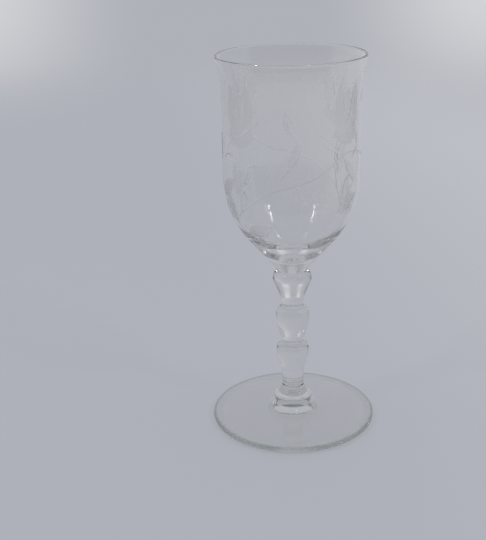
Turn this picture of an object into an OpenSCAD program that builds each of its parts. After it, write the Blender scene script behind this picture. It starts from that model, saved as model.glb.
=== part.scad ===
// Stem goblet for wine or water: a blown bowl on a stem of three knops, a collar and a disc foot.
// Every piece is a body of revolution about Z. The origin is at the middle of the foot's underside.

/* [Foot] */
// Diameter of the foot disc
foot_d = 84.7; // [60:0.1:110]
// Thickness of the foot at its rounded edge
foot_edge_t = 3.2; // [2:0.1:5]
// How far the edge is rounded in from the outside
foot_edge_round = 1.9; // [1:0.1:3]
// Rise of the foot's top from the edge to the collar, without the fillet
foot_slope_h = 3.0; // [1:0.1:8]
// Height of the fillet that lifts the foot's top to the collar
foot_fillet_h = 1.8; // [0.5:0.1:4]
// Width of that fillet, measured out from the collar
foot_fillet_w = 5.0; // [2:0.1:9]
// Height of the hollow under the middle of the foot
foot_hollow_h = 2.6; // [0.5:0.1:5]
// Width of the flat ring that the foot stands on
foot_ring_w = 2.2; // [1:0.1:5]

/* [Collar] */
// Diameter of the collar where it meets the foot
collar_seat_d = 19.0; // [14:0.1:30]
// Diameter of the collar at its edge, its widest place
collar_d = 20.4; // [15:0.1:32]
// Height of the collar from the foot to the stem
collar_h = 9.5; // [6:0.1:16]
// Height of the collar's edge above the foot
collar_edge_h = 4.8; // [2:0.1:5.5]
// Radius of the rounding at the collar's edge
collar_edge_round = 0.8; // [0.3:0.1:1.5]

/* [Stem] */
// Diameter of the neck between the collar and the lower knop
foot_neck_d = 11.2; // [8:0.1:13]
// Diameter of the neck between the lower and the middle knop
lower_neck_d = 10.8; // [8:0.1:13]
// Diameter of the neck between the middle and the upper knop
upper_neck_d = 11.2; // [8:0.1:13]
// Diameter of the joint between the upper knop and the bowl
bowl_neck_d = 14.6; // [10:0.1:17]

/* [Lower knop] */
// Diameter of the lower knop at its shoulder
lower_knop_d = 16.9; // [14:0.1:26]
// Height of the lower knop
lower_knop_h = 24.7; // [16:0.1:40]
// Height of the rounded shoulder of the lower knop
lower_shoulder_h = 4.6; // [2:0.1:7]

/* [Middle knop] */
// Diameter of the middle knop at its shoulder
middle_knop_d = 17.4; // [14:0.1:26]
// Height of the middle knop
middle_knop_h = 19.9; // [14:0.1:34]
// Height of the rounded shoulder of the middle knop
middle_shoulder_h = 5.6; // [2:0.1:8]

/* [Upper knop] */
// Diameter of the upper knop at its shoulder
upper_knop_d = 19.8; // [18:0.1:28]
// Height of the upper knop
upper_knop_h = 20.2; // [14:0.1:34]
// Height of the rounded shoulder of the upper knop
upper_shoulder_h = 4.8; // [2:0.1:8]

/* [Bowl] */
// Height of the bowl, from the stem to the rim
bowl_h = 107.7; // [80:0.1:150]
// Diameter of the rim at the turned-out lip
rim_d = 72.2; // [56:0.1:100]
// Diameter of the bowl at its belly
belly_d = 67.4; // [52:0.1:90]
// How much the bowl draws in between the belly and the lip, on the diameter
waist_draw = 0.6; // [0:0.1:3]
// Height of the turned-out lip
lip_h = 19.5; // [8:0.1:30]
// Thickness of the bowl's wall
bowl_wall = 1.2; // [0.8:0.1:2.5]
// Thickness of the glass under the middle of the bowl's hollow
bowl_base_t = 8; // [5:0.1:18]
// Radius of the round bottom of the hollow
hollow_round_r = 13; // [8:0.5:30]
// Angle between the axis and the side of the hollow, above its round bottom
hollow_angle = 48; // [42:1:60]
// Angle between the axis and the straight side at the bottom of the bowl
base_angle = 40.4; // [30:0.1:50]
// Radius of the curve from that side up to the belly
base_curve_r = 52; // [35:0.5:60]

/* [Hidden] */

$fn = 96;
CURVE_STEPS = 14;      // straight pieces in a curve on the stem or the foot
LIP_STEPS = 10;        // and in the turned-out lip
HOLLOW_STEPS = 20;     // and in the bowl's hollow, below the belly
EDGE_STEPS = 8;        // and in a rounded edge
CLEAR_GLASS = [0.86, 0.89, 0.9, 0.55];

// How each knop narrows from its shoulder: [fullness just below the shoulder, slimness of the waist]
LOWER_TAPER = [1, 4.2];
MIDDLE_TAPER = [1, 1.45];
UPPER_TAPER = [0.7, 2.03];
COLLAR_TAPER = 1.6;    // above 1, the collar's top is a hollow cone
HOLLOW_BLEND = 0.8;    // how softly the side of the bowl's hollow turns into the even wall, in mm

// Height of each piece's underside
collar_z = foot_edge_t + foot_slope_h + foot_fillet_h;
lower_knop_z = collar_z + collar_h;
middle_knop_z = lower_knop_z + lower_knop_h;
upper_knop_z = middle_knop_z + middle_knop_h;
bowl_z = upper_knop_z + upper_knop_h;

// Radii of the bowl, and heights above its own bottom
belly_r = belly_d / 2;
waist_r = belly_r - waist_draw / 2;
rim_round = bowl_wall / 2;
side_top_r = belly_r - base_curve_r * (1 - cos(base_angle));
side_top_h = (side_top_r - bowl_neck_d / 2) / tan(base_angle);
belly_h = side_top_h + base_curve_r * sin(base_angle);
lip_start_h = bowl_h - rim_round - lip_h;

// Points on an ellipse's arc, from one angle to another
function arc(centre, rx, rz, from, to, steps) =
    [for (i = [0:steps])
        let (a = from + (to - from) * i / steps)
        [centre[0] + rx * cos(a), centre[1] + rz * sin(a)]];

// A list without its first point, for joining two curves that share one
function tail(points) = [for (i = [1:len(points) - 1]) points[i]];

// Narrowing side of a knop, from its bottom face up to the widest place of its shoulder
function taper(bottom_r, shoulder_r, h, shape) =
    [for (i = [0:CURVE_STEPS])
        let (t = 1 - i / CURVE_STEPS)
        [bottom_r + (shoulder_r - bottom_r) * pow(cos(90 * pow(t, shape[0])), shape[1]), h * (1 - t)]];

// Outline of one knop, with flat faces where it joins its neighbours
function knop_outline(bottom_r, shoulder_r, top_r, h, shoulder_h, shape) =
    concat(
        [[0, 0]],
        taper(bottom_r, shoulder_r, h - shoulder_h, shape),
        tail(arc([top_r, h - shoulder_h], shoulder_r - top_r, shoulder_h, 0, 90, CURVE_STEPS)),
        [[0, h]]);

// Height of the foot's top at radius r: a shallow cone, with a fillet up to the collar
function foot_top(r) =
    let (
        seat_r = collar_seat_d / 2,
        edge_r = foot_d / 2 - foot_edge_round,
        lift = max(0, (seat_r + foot_fillet_w - r) / foot_fillet_w)
    )
    foot_edge_t + foot_slope_h * (edge_r - r) / (edge_r - seat_r) + foot_fillet_h * pow(lift, 2);

// Radius of the bowl's outside at height h above the bowl's bottom
function bowl_outside(h) =
    h < side_top_h ? bowl_neck_d / 2 + h * tan(base_angle)
    : h < belly_h ? belly_r - base_curve_r + sqrt(pow(base_curve_r, 2) - pow(belly_h - h, 2))
    : h < lip_start_h ? waist_r + (belly_r - waist_r) * (1 + cos(180 * (h - belly_h) / (lip_start_h - belly_h))) / 2
    : waist_r + (rim_d / 2 - waist_r) * pow((h - lip_start_h) / lip_h, 2);

// Radius of the bowl's hollow at height h: a cone with a round bottom, which turns into an even wall
function bowl_hollow(h) =
    let (
        even_wall = bowl_outside(h) - bowl_wall,
        apex = hollow_round_r / pow(tan(hollow_angle), 2),
        cone = tan(hollow_angle) * sqrt(max(0, pow(h - bowl_base_t + apex, 2) - pow(apex, 2)))
    )
    -HOLLOW_BLEND * ln(exp(-even_wall / HOLLOW_BLEND) + exp(-cone / HOLLOW_BLEND));

module turned(outline, height) {
    color(CLEAR_GLASS)
    translate([0, 0, height])
    rotate_extrude()
    polygon(outline);
}

module foot() {
    edge_r = foot_d / 2 - foot_edge_round;
    seat_r = collar_seat_d / 2;
    fillet_r = seat_r + foot_fillet_w;
    ring_r = edge_r - foot_ring_w;
    underside = [for (i = [0:CURVE_STEPS])
        let (s = i / CURVE_STEPS)
        [ring_r * s, foot_hollow_h * (1 - pow(s, 2))]];
    edge = arc([edge_r, foot_edge_t / 2], foot_edge_round, foot_edge_t / 2, -90, 90, EDGE_STEPS);
    top = [for (i = [0:EDGE_STEPS])
        let (r = fillet_r + (seat_r - fillet_r) * i / EDGE_STEPS)
        [r, foot_top(r)]];
    turned(concat(underside, edge, top, [[0, collar_z]]), 0);
}

module foot_collar() {
    edge_r = collar_d / 2;
    round_r = edge_r - collar_edge_round;
    round_h = collar_edge_h - collar_edge_round;
    cone_h = collar_h - collar_edge_h;
    neck_r = foot_neck_d / 2;
    edge = arc([round_r, round_h], collar_edge_round, collar_edge_round, 0, 90, EDGE_STEPS);
    cone = [for (i = [0:CURVE_STEPS])
        let (s = i / CURVE_STEPS)
        [neck_r + (round_r - neck_r) * pow(1 - s, COLLAR_TAPER), collar_edge_h + cone_h * s]];
    turned(concat([[0, 0], [collar_seat_d / 2, 0]], edge, tail(cone), [[0, collar_h]]), collar_z);
}

module lower_knop() {
    turned(
        knop_outline(foot_neck_d / 2, lower_knop_d / 2, lower_neck_d / 2,
            lower_knop_h, lower_shoulder_h, LOWER_TAPER),
        lower_knop_z);
}

module middle_knop() {
    turned(
        knop_outline(lower_neck_d / 2, middle_knop_d / 2, upper_neck_d / 2,
            middle_knop_h, middle_shoulder_h, MIDDLE_TAPER),
        middle_knop_z);
}

module upper_knop() {
    turned(
        knop_outline(upper_neck_d / 2, upper_knop_d / 2, bowl_neck_d / 2,
            upper_knop_h, upper_shoulder_h, UPPER_TAPER),
        upper_knop_z);
}

module bowl() {
    curve_heights = [for (i = [0:CURVE_STEPS]) side_top_h + (belly_h - side_top_h) * i / CURVE_STEPS];
    waist_heights = [for (i = [1:CURVE_STEPS]) belly_h + (lip_start_h - belly_h) * i / CURVE_STEPS];
    lip_heights = [for (i = [1:LIP_STEPS]) lip_start_h + lip_h * i / LIP_STEPS];
    hollow_heights = [for (i = [1:HOLLOW_STEPS])
        belly_h - (belly_h - bowl_base_t) * sin(90 * (1 - i / HOLLOW_STEPS))];
    upper_heights = concat(waist_heights, lip_heights);

    outside = [for (h = concat([0], curve_heights, upper_heights)) [bowl_outside(h), h]];
    rim = arc([rim_d / 2 - rim_round, bowl_h - rim_round], rim_round, rim_round, 0, 180, EDGE_STEPS);
    hollow = [for (h = concat(hollow_heights, upper_heights)) [bowl_hollow(h), h]];
    hollow_down = [for (i = [len(hollow) - 2:-1:0]) hollow[i]];
    turned(concat([[0, 0]], outside, tail(rim), hollow_down, [[0, bowl_base_t]]), bowl_z);
}

foot();
foot_collar();
lower_knop();
middle_knop();
upper_knop();
bowl();
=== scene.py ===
import bpy
import math
import numpy as np
from mathutils import Matrix, Vector


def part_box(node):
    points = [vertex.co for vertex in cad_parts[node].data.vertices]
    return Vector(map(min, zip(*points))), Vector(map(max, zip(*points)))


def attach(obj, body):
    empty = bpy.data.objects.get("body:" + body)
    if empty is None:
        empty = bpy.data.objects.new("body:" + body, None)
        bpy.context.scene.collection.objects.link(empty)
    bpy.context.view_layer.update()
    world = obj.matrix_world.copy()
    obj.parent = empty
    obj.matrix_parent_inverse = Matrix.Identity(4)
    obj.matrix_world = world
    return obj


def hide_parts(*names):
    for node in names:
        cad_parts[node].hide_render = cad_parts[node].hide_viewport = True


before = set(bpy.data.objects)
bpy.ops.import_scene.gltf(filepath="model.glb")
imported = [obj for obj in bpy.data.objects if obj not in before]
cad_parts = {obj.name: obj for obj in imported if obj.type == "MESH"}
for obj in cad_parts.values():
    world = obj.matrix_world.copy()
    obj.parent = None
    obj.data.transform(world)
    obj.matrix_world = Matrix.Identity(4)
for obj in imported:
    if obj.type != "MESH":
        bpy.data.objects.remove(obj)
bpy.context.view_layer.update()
scene = bpy.context.scene

# ---------------------------------------------------------------------------------------------
# The bowl is one gather of clear glass, blown thin at the top and left thick at the bottom.
# Its lip is turned out while hot and fire-polished to a fine bead.
# The tulips, leaves and vines are cut into the cold outside with a wheel and left matt.
MM = 0.001
MICRON = 0.001 * MM
WALL = 1.2 * MM
BASE_ANGLE = math.radians(40.4)
BASE_CURVE_R = 52 * MM
BELLY_R = 33.7 * MM
WAIST_R = 33.4 * MM
LIP_H = 19.5 * MM
BASE_T = 8.0 * MM
HOLLOW_ROUND_R = 13 * MM
HOLLOW_ANGLE = math.radians(48)
HOLLOW_BLEND = 0.8 * MM
BOWL_NECK_R = 7.3 * MM
TURN_STEPS = 480
bowl_low, bowl_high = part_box("bowl")
RIM_R = bowl_high.x
BOWL_Z = bowl_low.z
BOWL_H = bowl_high.z - bowl_low.z
RIM_ROUND = WALL / 2
SIDE_TOP_R = BELLY_R - BASE_CURVE_R * (1 - math.cos(BASE_ANGLE))
SIDE_TOP_H = (SIDE_TOP_R - BOWL_NECK_R) / math.tan(BASE_ANGLE)
BELLY_H = SIDE_TOP_H + BASE_CURVE_R * math.sin(BASE_ANGLE)
LIP_START_H = BOWL_H - RIM_ROUND - LIP_H


def bowl_outside(h):
    """Radius of the bowl's outside at height h above its bottom."""
    if h < SIDE_TOP_H:
        return BOWL_NECK_R + h * math.tan(BASE_ANGLE)
    if h < BELLY_H:
        return BELLY_R - BASE_CURVE_R + math.sqrt(BASE_CURVE_R ** 2 - (BELLY_H - h) ** 2)
    if h < LIP_START_H:
        share = (h - BELLY_H) / (LIP_START_H - BELLY_H)
        return WAIST_R + (BELLY_R - WAIST_R) * (1 + math.cos(math.pi * share)) / 2
    return WAIST_R + (RIM_R - WAIST_R) * ((h - LIP_START_H) / LIP_H) ** 2


def bowl_hollow(h):
    """Radius of the bowl's hollow at height h: a cone with a round bottom, then an even wall."""
    even_wall = bowl_outside(h) - WALL
    apex = HOLLOW_ROUND_R / math.tan(HOLLOW_ANGLE) ** 2
    cone = math.tan(HOLLOW_ANGLE) * math.sqrt(max(0.0, (h - BASE_T + apex) ** 2 - apex ** 2))
    return -HOLLOW_BLEND * math.log(math.exp(-even_wall / HOLLOW_BLEND) + math.exp(-cone / HOLLOW_BLEND))


def heights(low, high, step):
    """Even heights from low to high, both included, no further apart than step."""
    rounding = 1e-6
    count = max(1, math.ceil((high - low) / step - rounding))
    return [low + (high - low) * i / count for i in range(count + 1)]


def arc(centre_r, centre_z, radius_r, radius_z, start, end, steps):
    """Points on an ellipse's arc, without the first one. Angles in degrees."""
    angles = [math.radians(start + (end - start) * i / steps) for i in range(1, steps + 1)]
    return [(centre_r + radius_r * math.cos(a), centre_z + radius_z * math.sin(a)) for a in angles]


def lathe_tree():
    """Geometry nodes that turn an outline, drawn as radius and height, round the Z axis."""
    tree = bpy.data.node_groups.new("lathe", "GeometryNodeTree")
    face = tree.interface
    face.new_socket("Outline", in_out="INPUT", socket_type="NodeSocketGeometry")
    face.new_socket("Steps Round", in_out="INPUT", socket_type="NodeSocketInt")
    face.new_socket("Merge Distance", in_out="INPUT", socket_type="NodeSocketFloat")
    face.new_socket("Glass", in_out="INPUT", socket_type="NodeSocketMaterial")
    face.new_socket("Body", in_out="OUTPUT", socket_type="NodeSocketGeometry")

    def add(kind, settings=None, **sockets):
        made = tree.nodes.new(kind)
        for name, value in (settings or {}).items():
            setattr(made, name, value)
        for name, value in sockets.items():
            slot = made.inputs[int(name[1:]) if name[1:].isdigit() else name.replace("_", " ")]
            if isinstance(value, bpy.types.NodeSocket):
                tree.links.new(value, slot)
            else:
                slot.default_value = value
        return made

    def count_of(operation, first, second):
        return add("FunctionNodeIntegerMath", {"operation": operation}, s0=first, s1=second).outputs[0]

    def number(operation, first, second=0.0):
        return add("ShaderNodeMath", {"operation": operation}, s0=first, s1=second).outputs[0]

    given = add("NodeGroupInput").outputs
    size = add("GeometryNodeAttributeDomainSize", Geometry=given["Outline"])
    points_along = size.outputs["Point Count"]
    points_round = count_of("ADD", given["Steps Round"], 1)
    grid = add("GeometryNodeMeshGrid", Vertices_X=points_along, Vertices_Y=points_round)
    index = add("GeometryNodeInputIndex").outputs[0]
    along = count_of("DIVIDE_FLOOR", index, points_round)
    around = count_of("MODULO", index, points_round)
    place = add("GeometryNodeInputPosition").outputs[0]
    outline_point = add("GeometryNodeSampleIndex", {"data_type": "FLOAT_VECTOR"},
                        Geometry=given["Outline"], Value=place, Index=along).outputs[0]
    parts = add("ShaderNodeSeparateXYZ", Vector=outline_point).outputs
    share = number("DIVIDE", around, given["Steps Round"])
    angle = number("MULTIPLY", share, math.tau)
    x = number("MULTIPLY", parts["X"], number("COSINE", angle))
    y = number("MULTIPLY", parts["X"], number("SINE", angle))
    turned = add("ShaderNodeCombineXYZ", X=x, Y=y, Z=parts["Z"]).outputs[0]
    shaped = add("GeometryNodeSetPosition", Geometry=grid.outputs["Mesh"], Position=turned)
    merged = add("GeometryNodeMergeByDistance",
                 Geometry=shaped.outputs[0], Distance=given["Merge Distance"])
    outward = add("GeometryNodeFlipFaces", Mesh=merged.outputs[0])
    smooth = add("GeometryNodeSetShadeSmooth", Geometry=outward.outputs[0])
    whole = add("GeometryNodeRealizeInstances", Geometry=smooth.outputs[0])
    glazed = add("GeometryNodeSetMaterial", Geometry=whole.outputs[0], Material=given["Glass"])
    out = add("NodeGroupOutput")
    tree.links.new(glazed.outputs[0], out.inputs[0])
    return tree


LATHE = lathe_tree()


def turn_on_lathe(name, outline, steps, glass):
    """A closed body of glass from an outline of (radius, height) points.
    The outline starts and ends on the axis."""
    line = bpy.data.meshes.new(name + "_outline")
    line.from_pydata([(r, 0.0, z) for r, z in outline],
                     [(i, i + 1) for i in range(len(outline) - 1)], [])
    blank = bpy.data.objects.new(name + "_outline", line)
    scene.collection.objects.link(blank)
    lathe = blank.modifiers.new("lathe", "NODES")
    lathe.node_group = LATHE
    settings = {"Steps Round": steps, "Merge Distance": 2 * MICRON, "Glass": glass}
    for item in LATHE.interface.items_tree:
        if item.in_out == "INPUT" and item.name in settings:
            lathe[item.identifier] = settings[item.name]
    shaped = blank.evaluated_get(bpy.context.evaluated_depsgraph_get())
    mesh = bpy.data.meshes.new_from_object(shaped)
    blank.modifiers.clear()
    bpy.data.objects.remove(blank)
    mesh.name = name
    mesh.materials.clear()
    mesh.materials.append(glass)
    mesh.polygons.foreach_set("material_index", [0] * len(mesh.polygons))
    piece = bpy.data.objects.new(name, mesh)
    scene.collection.objects.link(piece)
    return piece


class Wire:
    """A shader socket that can be added, multiplied and so on as if it were a number."""

    def __init__(self, tree, socket):
        self.tree, self.socket = tree, socket

    def maths(self, operation, *values):
        node = self.tree.nodes.new("ShaderNodeMath")
        node.operation = operation
        for slot, value in zip(node.inputs, values):
            plug(self.tree, slot, value)
        return Wire(self.tree, node.outputs[0])

    def __add__(self, other):
        return self.maths("ADD", self, other)

    def __radd__(self, other):
        return self.maths("ADD", other, self)

    def __sub__(self, other):
        return self.maths("SUBTRACT", self, other)

    def __rsub__(self, other):
        return self.maths("SUBTRACT", other, self)

    def __mul__(self, other):
        return self.maths("MULTIPLY", self, other)

    def __rmul__(self, other):
        return self.maths("MULTIPLY", other, self)

    def size(self):
        """The number without its sign."""
        return self.maths("ABSOLUTE", self)


def plug(tree, slot, value):
    """Links a wire or an output to an input, or sets the input to a plain value."""
    if isinstance(value, Wire):
        tree.links.new(value.socket, slot)
    elif isinstance(value, bpy.types.NodeSocket):
        tree.links.new(value, slot)
    else:
        slot.default_value = value


class Finish:
    """The shader nodes of one material, or of the room around the glass."""

    def __init__(self, owner):
        owner.use_nodes = True
        self.tree = owner.node_tree
        self.tree.nodes.clear()

    def node(self, kind, settings=None, **sockets):
        """One node of a type: its settings first, then its sockets by name, or by number as s0, s1."""
        made = self.tree.nodes.new(kind)
        for name, value in (settings or {}).items():
            setattr(made, name, value)
        for name, value in sockets.items():
            numbered = name[1:].isdigit()
            plug(self.tree, made.inputs[int(name[1:]) if numbered else name.replace("_", " ")], value)
        return made

    def wire(self, output):
        return Wire(self.tree, output)

    def noise(self, place, scale, detail):
        """Cloudy noise over the piece, with the size of its clouds in 1 over metres."""
        made = self.node("ShaderNodeTexNoise", Vector=place, Scale=scale, Detail=detail)
        return self.wire(made.outputs[0])

    def note(self, name):
        """A number that was noted on the mesh point by point."""
        made = self.node("ShaderNodeAttribute", {"attribute_name": name})
        return self.wire(made.outputs["Fac"])

    def blend(self, share, first, second):
        """A blend of two colours, from the first at 0 to the second at 1."""
        made = self.node("ShaderNodeMix", {"data_type": "RGBA"}, Factor=share, s6=first, s7=second)
        return made.outputs[2]

    def ramp(self, value, low, high):
        """0 where value is under low, 1 where it is over high, and smooth between them."""
        made = self.node("ShaderNodeMapRange", {"interpolation_type": "SMOOTHSTEP"},
                         Value=value, From_Min=low, From_Max=high)
        return self.wire(made.outputs["Result"])


GLASS_IOR = 1.5
BOWL_TINT = (0.974, 0.974, 0.966, 1.0)
RIPPLE = 0.008
MATT_ROUGHNESS = 0.27
GROOVE_ROUGHNESS = 0.30
GROOVE_IN_MATT_ROUGHNESS = 0.10
GROOVE_RELIEF = 0.08


def cut_glass_material(name):
    """Clear glass that a grinding wheel has cut: matt where the cuts are broad, with its fine marks.
    The mesh notes, in millimetres, how deep a point is inside a matt shape, how far it is beside the
    middle of the nearest groove, half the width of that groove there, and how far along the marks it is.
    Relief is in millimetres too."""
    material = bpy.data.materials.new(name)
    glass = Finish(material)
    inside_matt = glass.note("matt")
    inside_groove = glass.note("half") - glass.note("beside").size()
    place = glass.node("ShaderNodeTexCoord").outputs["Object"]
    lines = glass.node("ShaderNodeTexNoise", {"noise_dimensions": "1D"},
                       W=glass.note("grain"), Scale=3.0, Detail=3.0)
    marks = glass.wire(lines.outputs[0])
    grit = glass.noise(place, 2600.0, 2.0)
    groove = glass.ramp(inside_groove, -0.06, 0.06)
    ground = glass.ramp(inside_matt, -0.05, 0.07)
    matt = ground * (1 - groove)
    ripple = glass.noise(place, 45.0, 1.0)
    groove_roughness = GROOVE_ROUGHNESS - ground * (GROOVE_ROUGHNESS - GROOVE_IN_MATT_ROUGHNESS)
    roughness = matt * (MATT_ROUGHNESS + marks * 0.06 + grit * 0.05) + groove * groove_roughness
    valley = glass.ramp(inside_groove, -0.14, 0.22)
    relief = ripple * RIPPLE + matt * (marks * 0.0008 + grit * 0.0006) - valley * GROOVE_RELIEF
    bump = glass.node("ShaderNodeBump", Height=relief, Strength=1.0, Distance=MM)
    face = glass.node("ShaderNodeBsdfPrincipled", Base_Color=BOWL_TINT, Roughness=roughness, IOR=GLASS_IOR,
                      Normal=bump.outputs[0], Transmission_Weight=1.0)
    glass.node("ShaderNodeOutputMaterial", Surface=face.outputs[0])
    return material


def joint_material(name):
    """Where two pieces are fused there is no surface left inside the glass, so this one is not seen."""
    material = bpy.data.materials.new(name)
    glass = Finish(material)
    face = glass.node("ShaderNodeBsdfPrincipled", Alpha=0.0)
    glass.node("ShaderNodeOutputMaterial", Surface=face.outputs[0])
    return material


JOINT = joint_material("fused_joint")
SHARP_EDGE = math.radians(40)


def fuse_faces(piece, *joint_heights):
    """Gives the flat faces where a piece is fused to its neighbours the joint's finish."""
    mesh = piece.data
    mesh.materials.append(JOINT)
    for face in mesh.polygons:
        level = [mesh.vertices[v].co.z for v in face.vertices]
        if any(max(abs(z - joint) for z in level) < MICRON for joint in joint_heights):
            face.material_index = 1
            face.use_smooth = False
    mesh.set_sharp_from_angle(angle=SHARP_EDGE)


# The cutting runs round the bowl twice. It is drawn on the bowl's skin laid flat: across is the
# distance round the belly from the front, and up is the height, both in millimetres.
DEGREE = BELLY_R / MM * math.pi / 180
HALF_TURN = 180 * DEGREE


def blade(length, half_width, fullest, bend=0.0, teeth=0, notch=0.0):
    """Outline of a pointed petal or leaf that grows up from the origin, with teeth along its edges.
    It is widest at fullest, a share of its length."""
    points_a_tooth, points_plain, roundness = 12, 36, 0.85
    along = np.linspace(0, 1, points_a_tooth * teeth + 1 if teeth else points_plain)
    width = half_width * np.sin(np.pi * along ** (math.log(0.5) / math.log(fullest))) ** roundness
    if teeth:
        width = width * (1 - notch * (1 - (along * teeth) % 1))
    middle = 4 * bend * along * (1 - along)
    left = np.stack([middle - width, along * length], 1)
    right = np.stack([middle + width, along * length], 1)
    return np.concatenate([left, right[-2:0:-1]])


def lean(points, degrees, across, up):
    """Leans an outline or a path to the right by some degrees and moves it to its place."""
    turn = math.radians(degrees)
    points = np.asarray(points, float)
    turned = np.stack([points[:, 0] * math.cos(turn) + points[:, 1] * math.sin(turn),
                       points[:, 1] * math.cos(turn) - points[:, 0] * math.sin(turn)], 1)
    return turned + (across, up)


def flowing(points, steps=8):
    """A smooth path through the points."""
    points = np.asarray(points, float)
    ends = np.vstack([2 * points[0] - points[1], points, 2 * points[-1] - points[-2]])
    path = []
    for before, start, end, after in zip(ends, ends[1:], ends[2:], ends[3:]):
        bend = 2 * before - 5 * start + 4 * end - after
        twist = 3 * start - before - 3 * end + after
        for t in np.arange(steps) / steps:
            path.append(0.5 * (2 * start + (end - before) * t + bend * t ** 2 + twist * t ** 3))
    return np.array(path + [points[-1]])


def nearest(points, across, up, closed):
    """Distance from places on the skin to a path, the same measured square to the path with a sign
    for its side, and how far along the path that is, as a share."""
    starts = points if closed else points[:-1]
    ends = np.roll(points, -1, axis=0) if closed else points[1:]
    far_off = 99.0
    best = np.full(len(across), far_off)
    side = np.full(len(across), far_off)
    share = np.zeros(len(across))
    for i, (start, end) in enumerate(zip(starts, ends)):
        step = end - start
        length = max(math.hypot(*step), 1e-6)
        right = across - start[0]
        above = up - start[1]
        t = np.clip((right * step[0] + above * step[1]) / length ** 2, 0, 1)
        away = np.hypot(right - t * step[0], above - t * step[1])
        closer = away < best
        best[closer] = away[closer]
        side[closer] = ((right * step[1] - above * step[0]) / length)[closer]
        share[closer] = (i + t[closer]) / len(starts)
    return best, side, share


def inside(points, across, up):
    """True for places inside a closed outline."""
    held = np.zeros(len(across), bool)
    for (x0, y0), (x1, y1) in zip(points, np.roll(points, -1, axis=0)):
        crosses = (y0 > up) != (y1 > up)
        if y0 != y1:
            held ^= crosses & (across < x0 + (up - y0) * (x1 - x0) / (y1 - y0))
    return held


# Ground shapes with the direction of the wheel's marks, and grooves with half their width.
matt_shapes = []
grooves = []


def cut_leaf(across, up, degrees, length, half_width, teeth=6):
    """A ground leaf with toothed edges, and its middle vein cut through to clear glass."""
    edge = blade(length, half_width, 0.42, 0.06 * length, teeth, 0.3)
    matt_shapes.append((lean(edge, degrees, across, up), degrees))
    vein = flowing([(0, -1.5), (0.16 * length, 0.5 * length), (0.02 * length, 0.9 * length)])
    grooves.append((lean(vein, degrees, across, up), 0.22))


def cut_lobed_leaf(across, up, degrees, size):
    """A ground leaf of five pointed lobes, each with its own vein."""
    for spread, share in ((0, 1.0), (-44, 0.82), (44, 0.82), (-92, 0.52), (92, 0.52)):
        lobe = blade(size * share, size * 0.21, 0.5)
        vein = [(0, 0.5), (0, size * share * 0.8)]
        matt_shapes.append((lean(lobe, degrees + spread, across, up), degrees))
        grooves.append((lean(vein, degrees + spread, across, up), 0.14))


def cut_tulip(across, up, degrees, size):
    """A ground tulip: a cup, a middle petal behind, and two side petals that open outwards."""
    for petal in (lean(blade(0.46 * size, 0.27 * size, 0.46), degrees, across, up),
                  lean(blade(0.86 * size, 0.19 * size, 0.5), degrees, across, up),
                  lean(blade(size, 0.15 * size, 0.44, -0.045 * size), degrees - 10, across, up),
                  lean(blade(size, 0.15 * size, 0.44, 0.045 * size), degrees + 10, across, up)):
        matt_shapes.append((petal, degrees))
    for side in (-1, 1):
        edge = flowing([(side * 0.11 * size, 0.80 * size),
                        (side * 0.075 * size, 0.55 * size),
                        (side * 0.03 * size, 0.36 * size)])
        grooves.append((lean(edge, degrees, across, up), 0.2))
    waist = flowing([(-0.30 * size, 0.15 * size), (0.0, 0.19 * size), (0.22 * size, 0.36 * size)])
    grooves.append((lean(waist, degrees, across, up), 0.32))


def cut_stem(*stops, half_width=0.26):
    """A thin V-shaped cut through places given in degrees round the bowl and in height."""
    grooves.append((flowing([(turn * DEGREE, height) for turn, height in stops]), half_width))


cut_tulip(-45 * DEGREE, 150, -2, 31)
cut_tulip(49 * DEGREE, 151, 3, 31)
cut_stem((-62, 112), (-50, 118), (-44, 127), (-43, 136), (-46, 143), (-45, 151))
cut_stem((-62, 112), (-40, 122), (-20, 130), (0, 134.5), (20, 138), (40, 145), (54, 147.5), (70, 146),
         half_width=0.3)
cut_stem((70, 146), (86, 141), (100, 130), (112, 118), (118, 112), half_width=0.3)
cut_stem((3, 135), (7, 130), (13, 124), half_width=0.34)
cut_stem((-10, 137), (-2, 143), (4, 151))
cut_stem((26, 154), (33, 150.5), (42, 148))
cut_stem((50, 153), (47, 150), (44, 147))
cut_stem((-70, 144), (-61, 146.5), (-53, 145.5), half_width=0.4)
cut_stem((-36, 142), (-32, 143.2), (-27, 143))
cut_stem((30, 173), (31.5, 169), (34, 166))
cut_stem((35, 174), (35.5, 170), (35, 166))
cut_stem((56, 144), (61, 147), (67, 152), half_width=0.34)
cut_stem((52, 113), (53, 117), (52, 122))
cut_leaf(-48 * DEGREE, 127, -10, 17, 4.4)
cut_leaf(-60 * DEGREE, 112, -12, 18, 4.4)
cut_leaf(-45 * DEGREE, 109, 74, 17, 4.6)
cut_leaf(90 * DEGREE, 139, 22, 17, 4.6)
cut_leaf(104 * DEGREE, 126, 55, 16, 4.4)
cut_leaf(-2 * DEGREE, 143, 20, 13, 3.2)
cut_lobed_leaf(52 * DEGREE, 120, 4, 12.5)
cut_lobed_leaf(100 * DEGREE, 112, -25, 11.5)


GROOVE_REACH = 0.95
MATT_SLOPE = 1.6
MATT_DEPTH = 0.05 * MM
GROOVE_DEPTH = 0.03 * MM
OUTSIDE_MATT = -2.0
OUTSIDE_GROOVE = -3.0
BESIDE_GROOVE = 2.0
SEARCH = 2.0


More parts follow.
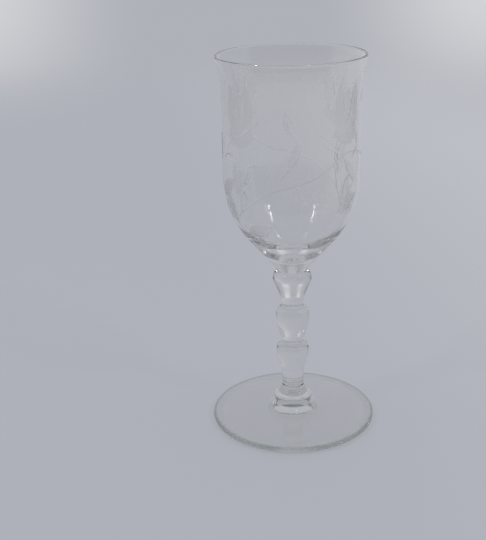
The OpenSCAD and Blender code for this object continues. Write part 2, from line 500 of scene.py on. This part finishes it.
def cut_into(mesh):
    """Sinks the cutting into the bowl's skin, and notes on the mesh what its finish needs."""
    place = np.empty(3 * len(mesh.vertices))
    mesh.vertices.foreach_get("co", place)
    place = place.reshape(-1, 3)
    radius = np.hypot(place[:, 0], place[:, 1])
    height = np.clip(place[:, 2] - BOWL_Z, 0.0, BOWL_H - RIM_ROUND)
    skin_radius = np.array([bowl_outside(h) for h in height])
    skin = np.where((np.abs(radius - skin_radius) < MICRON) & (place[:, 2] > BOWL_Z + SIDE_TOP_H))[0]
    turn = np.degrees(np.arctan2(place[skin, 0], -place[skin, 1])) * DEGREE
    up = place[skin, 2] / MM
    matt = np.full(len(place), OUTSIDE_MATT)
    beside = np.full(len(place), BESIDE_GROOVE)
    half = np.full(len(place), OUTSIDE_GROOVE)
    gap = np.full(len(place), GROOVE_REACH)
    grain = np.zeros(len(place))
    for kind, shapes in (("matt", matt_shapes), ("groove", grooves)):
        for points, value in shapes:
            left, low = points.min(axis=0) - SEARCH
            right, high = points.max(axis=0) + SEARCH
            middle = (left + right) / 2
            across = (turn - middle + HALF_TURN / 2) % HALF_TURN - HALF_TURN / 2 + middle
            near = np.where((across > left) & (across < right) & (up > low) & (up < high))[0]
            away, side, share = nearest(points, across[near], up[near], kind == "matt")
            here = skin[near]
            if kind == "matt":
                depth = np.where(inside(points, across[near], up[near]), away, -away)
                lines = math.radians(value)
                along = across[near] * math.sin(lines) + up[near] * math.cos(lines)
                grain[here] = np.where(depth > matt[here], along, grain[here])
                matt[here] = np.maximum(matt[here], depth)
            else:
                taper = np.clip(4 * share * (1 - share), 0.1, 1) ** 0.5
                past_end = np.sqrt(np.maximum(away ** 2 - side ** 2, 0))
                closer = away < gap[here]
                gap[here[closer]] = away[closer]
                beside[here[closer]] = side[closer]
                half[here[closer]] = (value * taper - past_end)[closer]
    for name, values in (("matt", matt), ("beside", beside), ("half", half), ("grain", grain)):
        mesh.attributes.new(name, "FLOAT", "POINT").data.foreach_set("value", values.astype(np.float32))
    hollowed = np.clip(matt / MATT_SLOPE, 0, 1)
    scored = (1 - (gap / GROOVE_REACH) ** 2) ** 2
    sunk = MATT_DEPTH * hollowed ** 2 * (3 - 2 * hollowed) + GROOVE_DEPTH * scored
    smaller = 1 - sunk / np.maximum(radius, MM)
    place[:, 0] *= smaller
    place[:, 1] *= smaller
    mesh.vertices.foreach_set("co", place.ravel())
    mesh.update()


# The outline goes up the outside, over the lip and down the hollow, with close points where it is cut.
CUT_TOP_H = 102.0 * MM
LIP_STEPS = 8
HOLLOW_STEPS = 30
side_heights = heights(0, SIDE_TOP_H, 3 * MM) + heights(SIDE_TOP_H, CUT_TOP_H, 0.65 * MM)[1:]
side_heights += heights(CUT_TOP_H, BOWL_H - RIM_ROUND, 1.2 * MM)[1:]
outside = [(bowl_outside(h), h) for h in side_heights]
rim = arc(RIM_R - RIM_ROUND, BOWL_H - RIM_ROUND, RIM_ROUND, RIM_ROUND, 0, 180, LIP_STEPS)
hollow_heights = heights(LIP_START_H, BOWL_H - RIM_ROUND, 4 * MM)[::-1][1:]
hollow_heights += heights(BELLY_H, LIP_START_H, 6 * MM)[::-1][1:]
for i in range(1, HOLLOW_STEPS):
    share = math.sin(math.pi / 2 * i / HOLLOW_STEPS)
    hollow_heights.append(BELLY_H - (BELLY_H - BASE_T) * share)
hollow = [(bowl_hollow(h), h) for h in hollow_heights]
bowl_outline = [(0.0, 0.0)] + outside + rim + hollow + [(0.0, BASE_T)]
bowl_outline = [(r, BOWL_Z + h) for r, h in bowl_outline]
CUT_GLASS = cut_glass_material("cut_glass")
bowl = turn_on_lathe("cut_bowl", bowl_outline, TURN_STEPS, CUT_GLASS)
cut_into(bowl.data)
fuse_faces(bowl, BOWL_Z)
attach(bowl, "root")
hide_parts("bowl")


# ---------------------------------------------------------------------------------------------
# The stem: three knops of solid glass, each dropped on hot and shaped with a tool while it turns.
# Each is widest at its shoulder and draws in to a narrow neck.
STEM_TINT = (0.970, 0.970, 0.955, 1.0)
WIPE_ROUGHNESS = 0.012
SCUFF_ROUGHNESS = 0.22
SCUFF_RELIEF = 0.01


def glass_material(name, body_tint, edge_tint=None, edge_from=0.0):
    """Clear glass with the slow ripple that tooling leaves, faint wipe marks, and scuffs where it stands.
    Further from the axis than edge_from it is seen edge on, and takes the edge's tint."""
    material = bpy.data.materials.new(name)
    glass = Finish(material)
    place = glass.node("ShaderNodeTexCoord").outputs["Object"]
    height = glass.wire(glass.node("ShaderNodeSeparateXYZ", Vector=place).outputs["Z"])
    ripple = glass.noise(place, 85.0, 1.0)
    wipes = glass.noise(place, 260.0, 4.0)
    scuffs = glass.noise(place, 3000.0, 2.0)
    scuffed = (1 - glass.ramp(height, 0.04 * MM, 0.14 * MM)) * glass.ramp(scuffs, 0.42, 0.58)
    roughness = glass.ramp(wipes, 0.5, 0.8) * WIPE_ROUGHNESS + scuffed * SCUFF_ROUGHNESS
    relief = ripple * RIPPLE - scuffed * SCUFF_RELIEF
    bump = glass.node("ShaderNodeBump", Height=relief, Strength=1.0, Distance=MM)
    colour = body_tint
    if edge_tint is not None:
        flat = glass.node("ShaderNodeVectorMath", {"operation": "MULTIPLY"}, s0=place, s1=(1.0, 1.0, 0.0))
        out = glass.node("ShaderNodeVectorMath", {"operation": "LENGTH"}, s0=flat.outputs[0])
        edge = glass.ramp(glass.wire(out.outputs["Value"]), edge_from, edge_from + 0.8 * MM)
        colour = glass.blend(edge, body_tint, edge_tint)
    face = glass.node("ShaderNodeBsdfPrincipled", Base_Color=colour, Roughness=roughness, IOR=GLASS_IOR,
                      Normal=bump.outputs[0], Transmission_Weight=1.0)
    glass.node("ShaderNodeOutputMaterial", Surface=face.outputs[0])
    return material


GLASS = glass_material("clear_glass", STEM_TINT)
KNOP_STEPS = 40
SHOULDER_STEPS = 24
KNOP_STEPS_ROUND = 192


def knop_outline(low, high, bottom_r, shoulder_r, top_r, shoulder_h, shape):
    """Half the outline of a knop: a side that swells up to the shoulder, and a round shoulder above it."""
    fullness, slimness = shape
    rise = high - low - shoulder_h
    side = []
    for i in range(KNOP_STEPS + 1):
        t = 1 - i / KNOP_STEPS
        swell = max(0.0, math.cos(math.pi / 2 * t ** fullness)) ** slimness
        side.append((bottom_r + (shoulder_r - bottom_r) * swell, low + rise * (1 - t)))
    shoulder = arc(top_r, low + rise, shoulder_r - top_r, shoulder_h, 0, 90, SHOULDER_STEPS)
    return [(0.0, low)] + side + shoulder + [(0.0, high)]


FOOT_NECK_R = 5.6 * MM
LOWER_NECK_R = 5.4 * MM
UPPER_NECK_R = 5.6 * MM
# Each knop's node, radius at bottom and top, height of its shoulder, and how full and slim its side is.
KNOPS = (
    ("lower_knop", FOOT_NECK_R, LOWER_NECK_R, 4.6 * MM, (1.0, 4.2)),
    ("middle_knop", LOWER_NECK_R, UPPER_NECK_R, 5.6 * MM, (1.0, 1.45)),
    ("upper_knop", UPPER_NECK_R, BOWL_NECK_R, 4.8 * MM, (0.7, 2.03)),
)
for node, bottom_r, top_r, shoulder_h, shape in KNOPS:
    low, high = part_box(node)
    knop_half = knop_outline(low.z, high.z, bottom_r, high.x, top_r, shoulder_h, shape)
    knop = turn_on_lathe("glass_" + node, knop_half, KNOP_STEPS_ROUND, GLASS)
    fuse_faces(knop, low.z, high.z)
    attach(knop, "root")
    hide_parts(node)


# ---------------------------------------------------------------------------------------------
# The collar is a button of clear glass, dropped on hot and pressed between the stem and the foot.
# It is widest half way up, where its edge is round, and its top draws in to the neck of the stem.
collar_low, collar_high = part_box("foot_collar")
COLLAR_SEAT_R = 9.5 * MM
COLLAR_R = collar_high.x
COLLAR_EDGE_H = 4.8 * MM
COLLAR_EDGE_ROUND = 0.8 * MM
COLLAR_EDGE_STEPS = 10
COLLAR_TOP_STEPS = 24
COLLAR_TOP_CURVE = 1.6
collar_flat_r = COLLAR_R - COLLAR_EDGE_ROUND
collar_edge_z = collar_low.z + COLLAR_EDGE_H
collar_top = []
for i in range(1, COLLAR_TOP_STEPS + 1):
    share = i / COLLAR_TOP_STEPS
    collar_top.append((FOOT_NECK_R + (collar_flat_r - FOOT_NECK_R) * (1 - share) ** COLLAR_TOP_CURVE,
                       collar_edge_z + (collar_high.z - collar_edge_z) * share))
collar_outline = [(0.0, collar_low.z), (COLLAR_SEAT_R, collar_low.z)]
collar_outline += [(COLLAR_R, collar_edge_z - COLLAR_EDGE_ROUND)]
collar_outline += arc(collar_flat_r, collar_edge_z - COLLAR_EDGE_ROUND,
                      COLLAR_EDGE_ROUND, COLLAR_EDGE_ROUND, 0, 90, COLLAR_EDGE_STEPS)
collar_outline += collar_top + [(0.0, collar_high.z)]
collar = turn_on_lathe("glass_collar", collar_outline, KNOP_STEPS_ROUND, GLASS)
fuse_faces(collar, collar_low.z, collar_high.z)
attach(collar, "root")
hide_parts("foot_collar")


# ---------------------------------------------------------------------------------------------
# The foot is a disc of glass, spun flat while hot, so its edge is round and its middle is thick.
# It is hollow underneath, and stands on a narrow ring. Seen through its edge the glass is green.
foot_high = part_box("foot")[1]
FOOT_R = foot_high.x
FOOT_H = foot_high.z
EDGE_T = 3.2 * MM
EDGE_ROUND = 1.9 * MM
SLOPE_H = 3.0 * MM
FILLET_W = 5.0 * MM
FILLET_H = FOOT_H - EDGE_T - SLOPE_H
HOLLOW_H = 2.6 * MM
RING_W = 2.2 * MM
UNDER_STEPS = 40
EDGE_STEPS = 24
FOOT_STEPS_ROUND = 288
FOOT_TINT = (0.994, 0.994, 0.984, 1.0)
EDGE_TINT = (0.66, 0.71, 0.66, 1.0)
edge_r = FOOT_R - EDGE_ROUND
ring_r = edge_r - RING_W


def foot_top(r):
    """Height of the foot's top at a distance from the axis: a slope that sweeps up to the collar."""
    lift = max(0.0, (COLLAR_SEAT_R + FILLET_W - r) / FILLET_W)
    return EDGE_T + SLOPE_H * (edge_r - r) / (edge_r - COLLAR_SEAT_R) + FILLET_H * lift ** 2


foot_outline = []
for i in range(UNDER_STEPS + 1):
    foot_outline.append((ring_r * i / UNDER_STEPS, HOLLOW_H * (1 - (i / UNDER_STEPS) ** 2)))
foot_outline += [(edge_r, 0.0)]
foot_outline += arc(edge_r, EDGE_T / 2, EDGE_ROUND, EDGE_T / 2, -90, 90, EDGE_STEPS)
foot_outline += [(r, foot_top(r)) for r in heights(COLLAR_SEAT_R, edge_r, 0.5 * MM)[::-1][1:]]
foot_outline += [(0.0, FOOT_H)]
FOOT_GLASS = glass_material("foot_glass", FOOT_TINT, EDGE_TINT, edge_r + 0.2 * MM)
foot = turn_on_lathe("glass_foot", foot_outline, FOOT_STEPS_ROUND, FOOT_GLASS)
fuse_faces(foot, FOOT_H)
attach(foot, "root")
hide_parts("foot")

# ---------------------------------------------------------------------------------------------
# The studio: a wide sheet of pale grey-blue paper with faint painted light on it, brighter towards the
# right, that fades out before a pale backdrop, a dark room in front of the glass, and a soft panel and a
# small bulb high on each side.
BACKDROP = (0.430, 0.443, 0.486, 1.0)
BRIGHT_SIDE = (0.655, 0.660, 0.685, 1.0)
WALL_GLOW = (0.455, 0.468, 0.505, 1.0)
SIDE_WALL = (0.278, 0.286, 0.308, 1.0)
ROOM = (0.012, 0.012, 0.013, 1.0)
FRONT_LOW = (0.145, 0.149, 0.160, 1.0)

# Directions into the room: up, back and sideways each run from -1 to 1.
world = bpy.data.worlds.new("studio")
scene.world = world
room = Finish(world)
directions = room.node("ShaderNodeTexCoord").outputs["Generated"]
towards = room.node("ShaderNodeSeparateXYZ", Vector=directions).outputs
up = room.wire(towards["Z"])
back = room.wire(towards["Y"])
sideways = room.wire(towards["X"])
off_middle = (sideways + 0.06).size()
corners = room.ramp(off_middle, 0.08, 0.26) * room.ramp(back, 0.88, 0.945) * room.ramp(up, -0.24, -0.08)
low_side = room.ramp(sideways.size(), 0.45, 0.85) * (1 - room.ramp(up, 0.35, 0.60))
in_front = 1 - room.ramp(back, -0.42, -0.20)
backdrop_colour = room.blend(corners, BACKDROP, BRIGHT_SIDE)
wall_colour = room.blend(low_side, WALL_GLOW, SIDE_WALL)
lit_colour = room.blend(room.ramp(up, 0.01, 0.22), backdrop_colour, wall_colour)
front_colour = room.blend(room.ramp(up, 0.006, 0.03), FRONT_LOW, ROOM)
room_colour = room.blend(in_front, lit_colour, front_colour)
room_light = room.node("ShaderNodeBackground", Color=room_colour, Strength=1.0)
room.node("ShaderNodeOutputWorld", Surface=room_light.outputs[0])

PAPER = (0.40, 0.41, 0.44, 1.0)
# The paper's emission is painted light: it stands for studio light falling on the sheet, and is brighter
# towards the right.
PAPER_PAINTED_LIGHT = (0.282, 0.290, 0.315, 1.0)
PAPER_PAINTED_LIGHT_RIGHT = (0.370, 0.375, 0.396, 1.0)
PAPER_RADIUS = 1.6
PAPER_STEPS = 96
PAPER_GAP = 0.1 * MM
FADE_FROM = 0.55
FADE_TO = 1.4
paper_ring = []
for i in range(PAPER_STEPS):
    turn = math.tau * i / PAPER_STEPS
    paper_ring.append((PAPER_RADIUS * math.cos(turn), PAPER_RADIUS * math.sin(turn), -PAPER_GAP))
paper_mesh = bpy.data.meshes.new("paper")
paper_mesh.from_pydata(paper_ring, [], [list(range(PAPER_STEPS))])
paper = bpy.data.objects.new("paper", paper_mesh)
scene.collection.objects.link(paper)

paper_material = bpy.data.materials.new("paper")
sheet = Finish(paper_material)
on_sheet = sheet.node("ShaderNodeTexCoord").outputs["Object"]
sheet_xyz = sheet.node("ShaderNodeSeparateXYZ", Vector=on_sheet).outputs
# Painted light: the paper's emission grows brighter towards the right and the far side.
painted_light_to_right = sheet.ramp(sheet.wire(sheet_xyz["X"]) + sheet.wire(sheet_xyz["Y"]) * 0.25, -0.02, 0.40)
sheet_painted_light = sheet.blend(painted_light_to_right, PAPER_PAINTED_LIGHT, PAPER_PAINTED_LIGHT_RIGHT)
sheet_bump = sheet.node("ShaderNodeBump", Height=sheet.noise(on_sheet, 900.0, 3.0), Strength=0.05,
                        Distance=0.5 * MM)
sheet_face = sheet.node("ShaderNodeBsdfPrincipled", Base_Color=PAPER, Roughness=0.85,
                        Specular_IOR_Level=0.2, Emission_Color=sheet_painted_light, Emission_Strength=1.0,
                        Normal=sheet_bump.outputs[0])
sheet_gone = sheet.node("ShaderNodeBsdfTransparent")
from_glass = sheet.node("ShaderNodeVectorMath", {"operation": "LENGTH"}, s0=on_sheet).outputs["Value"]
sheet_mix = sheet.node("ShaderNodeMixShader", Fac=sheet.ramp(from_glass, FADE_FROM, FADE_TO),
                       s1=sheet_face.outputs[0], s2=sheet_gone.outputs[0])
sheet.node("ShaderNodeOutputMaterial", Surface=sheet_mix.outputs[0])
paper_mesh.materials.append(paper_material)

LAMP_TARGET = (0.0, 0.0, 0.1)
PANEL_SIZE = 0.16
PANEL_POWER = 0.4
BULB_SIZE = 0.06
BULB_POWER = 0.5


def lamp(name, place, size, power):
    """A square soft light at place, turned to the glass."""
    light = bpy.data.lights.new(name, "AREA")
    light.shape = "SQUARE"
    light.size = size
    light.energy = power
    aim = (Vector(LAMP_TARGET) - Vector(place)).to_track_quat("-Z", "Y")
    made = bpy.data.objects.new(name, light)
    made.matrix_world = Matrix.Translation(place) @ aim.to_matrix().to_4x4()
    scene.collection.objects.link(made)


lamp("left_panel", (-1.0, -0.62, 0.95), PANEL_SIZE, PANEL_POWER)
lamp("right_panel", (1.0, -0.62, 0.95), PANEL_SIZE, PANEL_POWER)
lamp("left_bulb", (-0.98, -0.62, 0.93), BULB_SIZE, BULB_POWER)
lamp("right_bulb", (0.98, -0.62, 0.93), BULB_SIZE, BULB_POWER)

scene.view_settings.view_transform = "Standard"
# Light passes many faces of clear glass before it comes out again.
scene.cycles.max_bounces = 128
scene.cycles.transmission_bounces = 96
scene.cycles.glossy_bounces = 96
scene.cycles.transparent_max_bounces = 96
scene.cycles.use_denoising = True


# ---------------------------------------------------------------------------------------------
# The camera looks down at the glass from close in front, from a little above the lip.
# The glass stands a little to the right of the middle, so the camera is turned to the left.
CAMERA_PLACE = (0.0, -0.4669, 0.2591)
CAMERA_TILT_DOWN = 20.78
CAMERA_TURN_LEFT = 3.06
CAMERA_ROLL = -1.45
CAMERA_LENS_MM = 65.6
CAMERA_SENSOR_MM = 36.0

camera = bpy.data.objects.new("camera", bpy.data.cameras.new("camera"))
camera.data.lens = CAMERA_LENS_MM
camera.data.sensor_width = CAMERA_SENSOR_MM
camera.data.clip_start = 0.01
camera.data.clip_end = 50.0
camera.matrix_world = (
    Matrix.Translation(CAMERA_PLACE)
    @ Matrix.Rotation(math.radians(CAMERA_TURN_LEFT), 4, "Z")
    @ Matrix.Rotation(math.radians(90 - CAMERA_TILT_DOWN), 4, "X")
    @ Matrix.Rotation(math.radians(CAMERA_ROLL), 4, "Z")
)
scene.collection.objects.link(camera)
scene.camera = camera
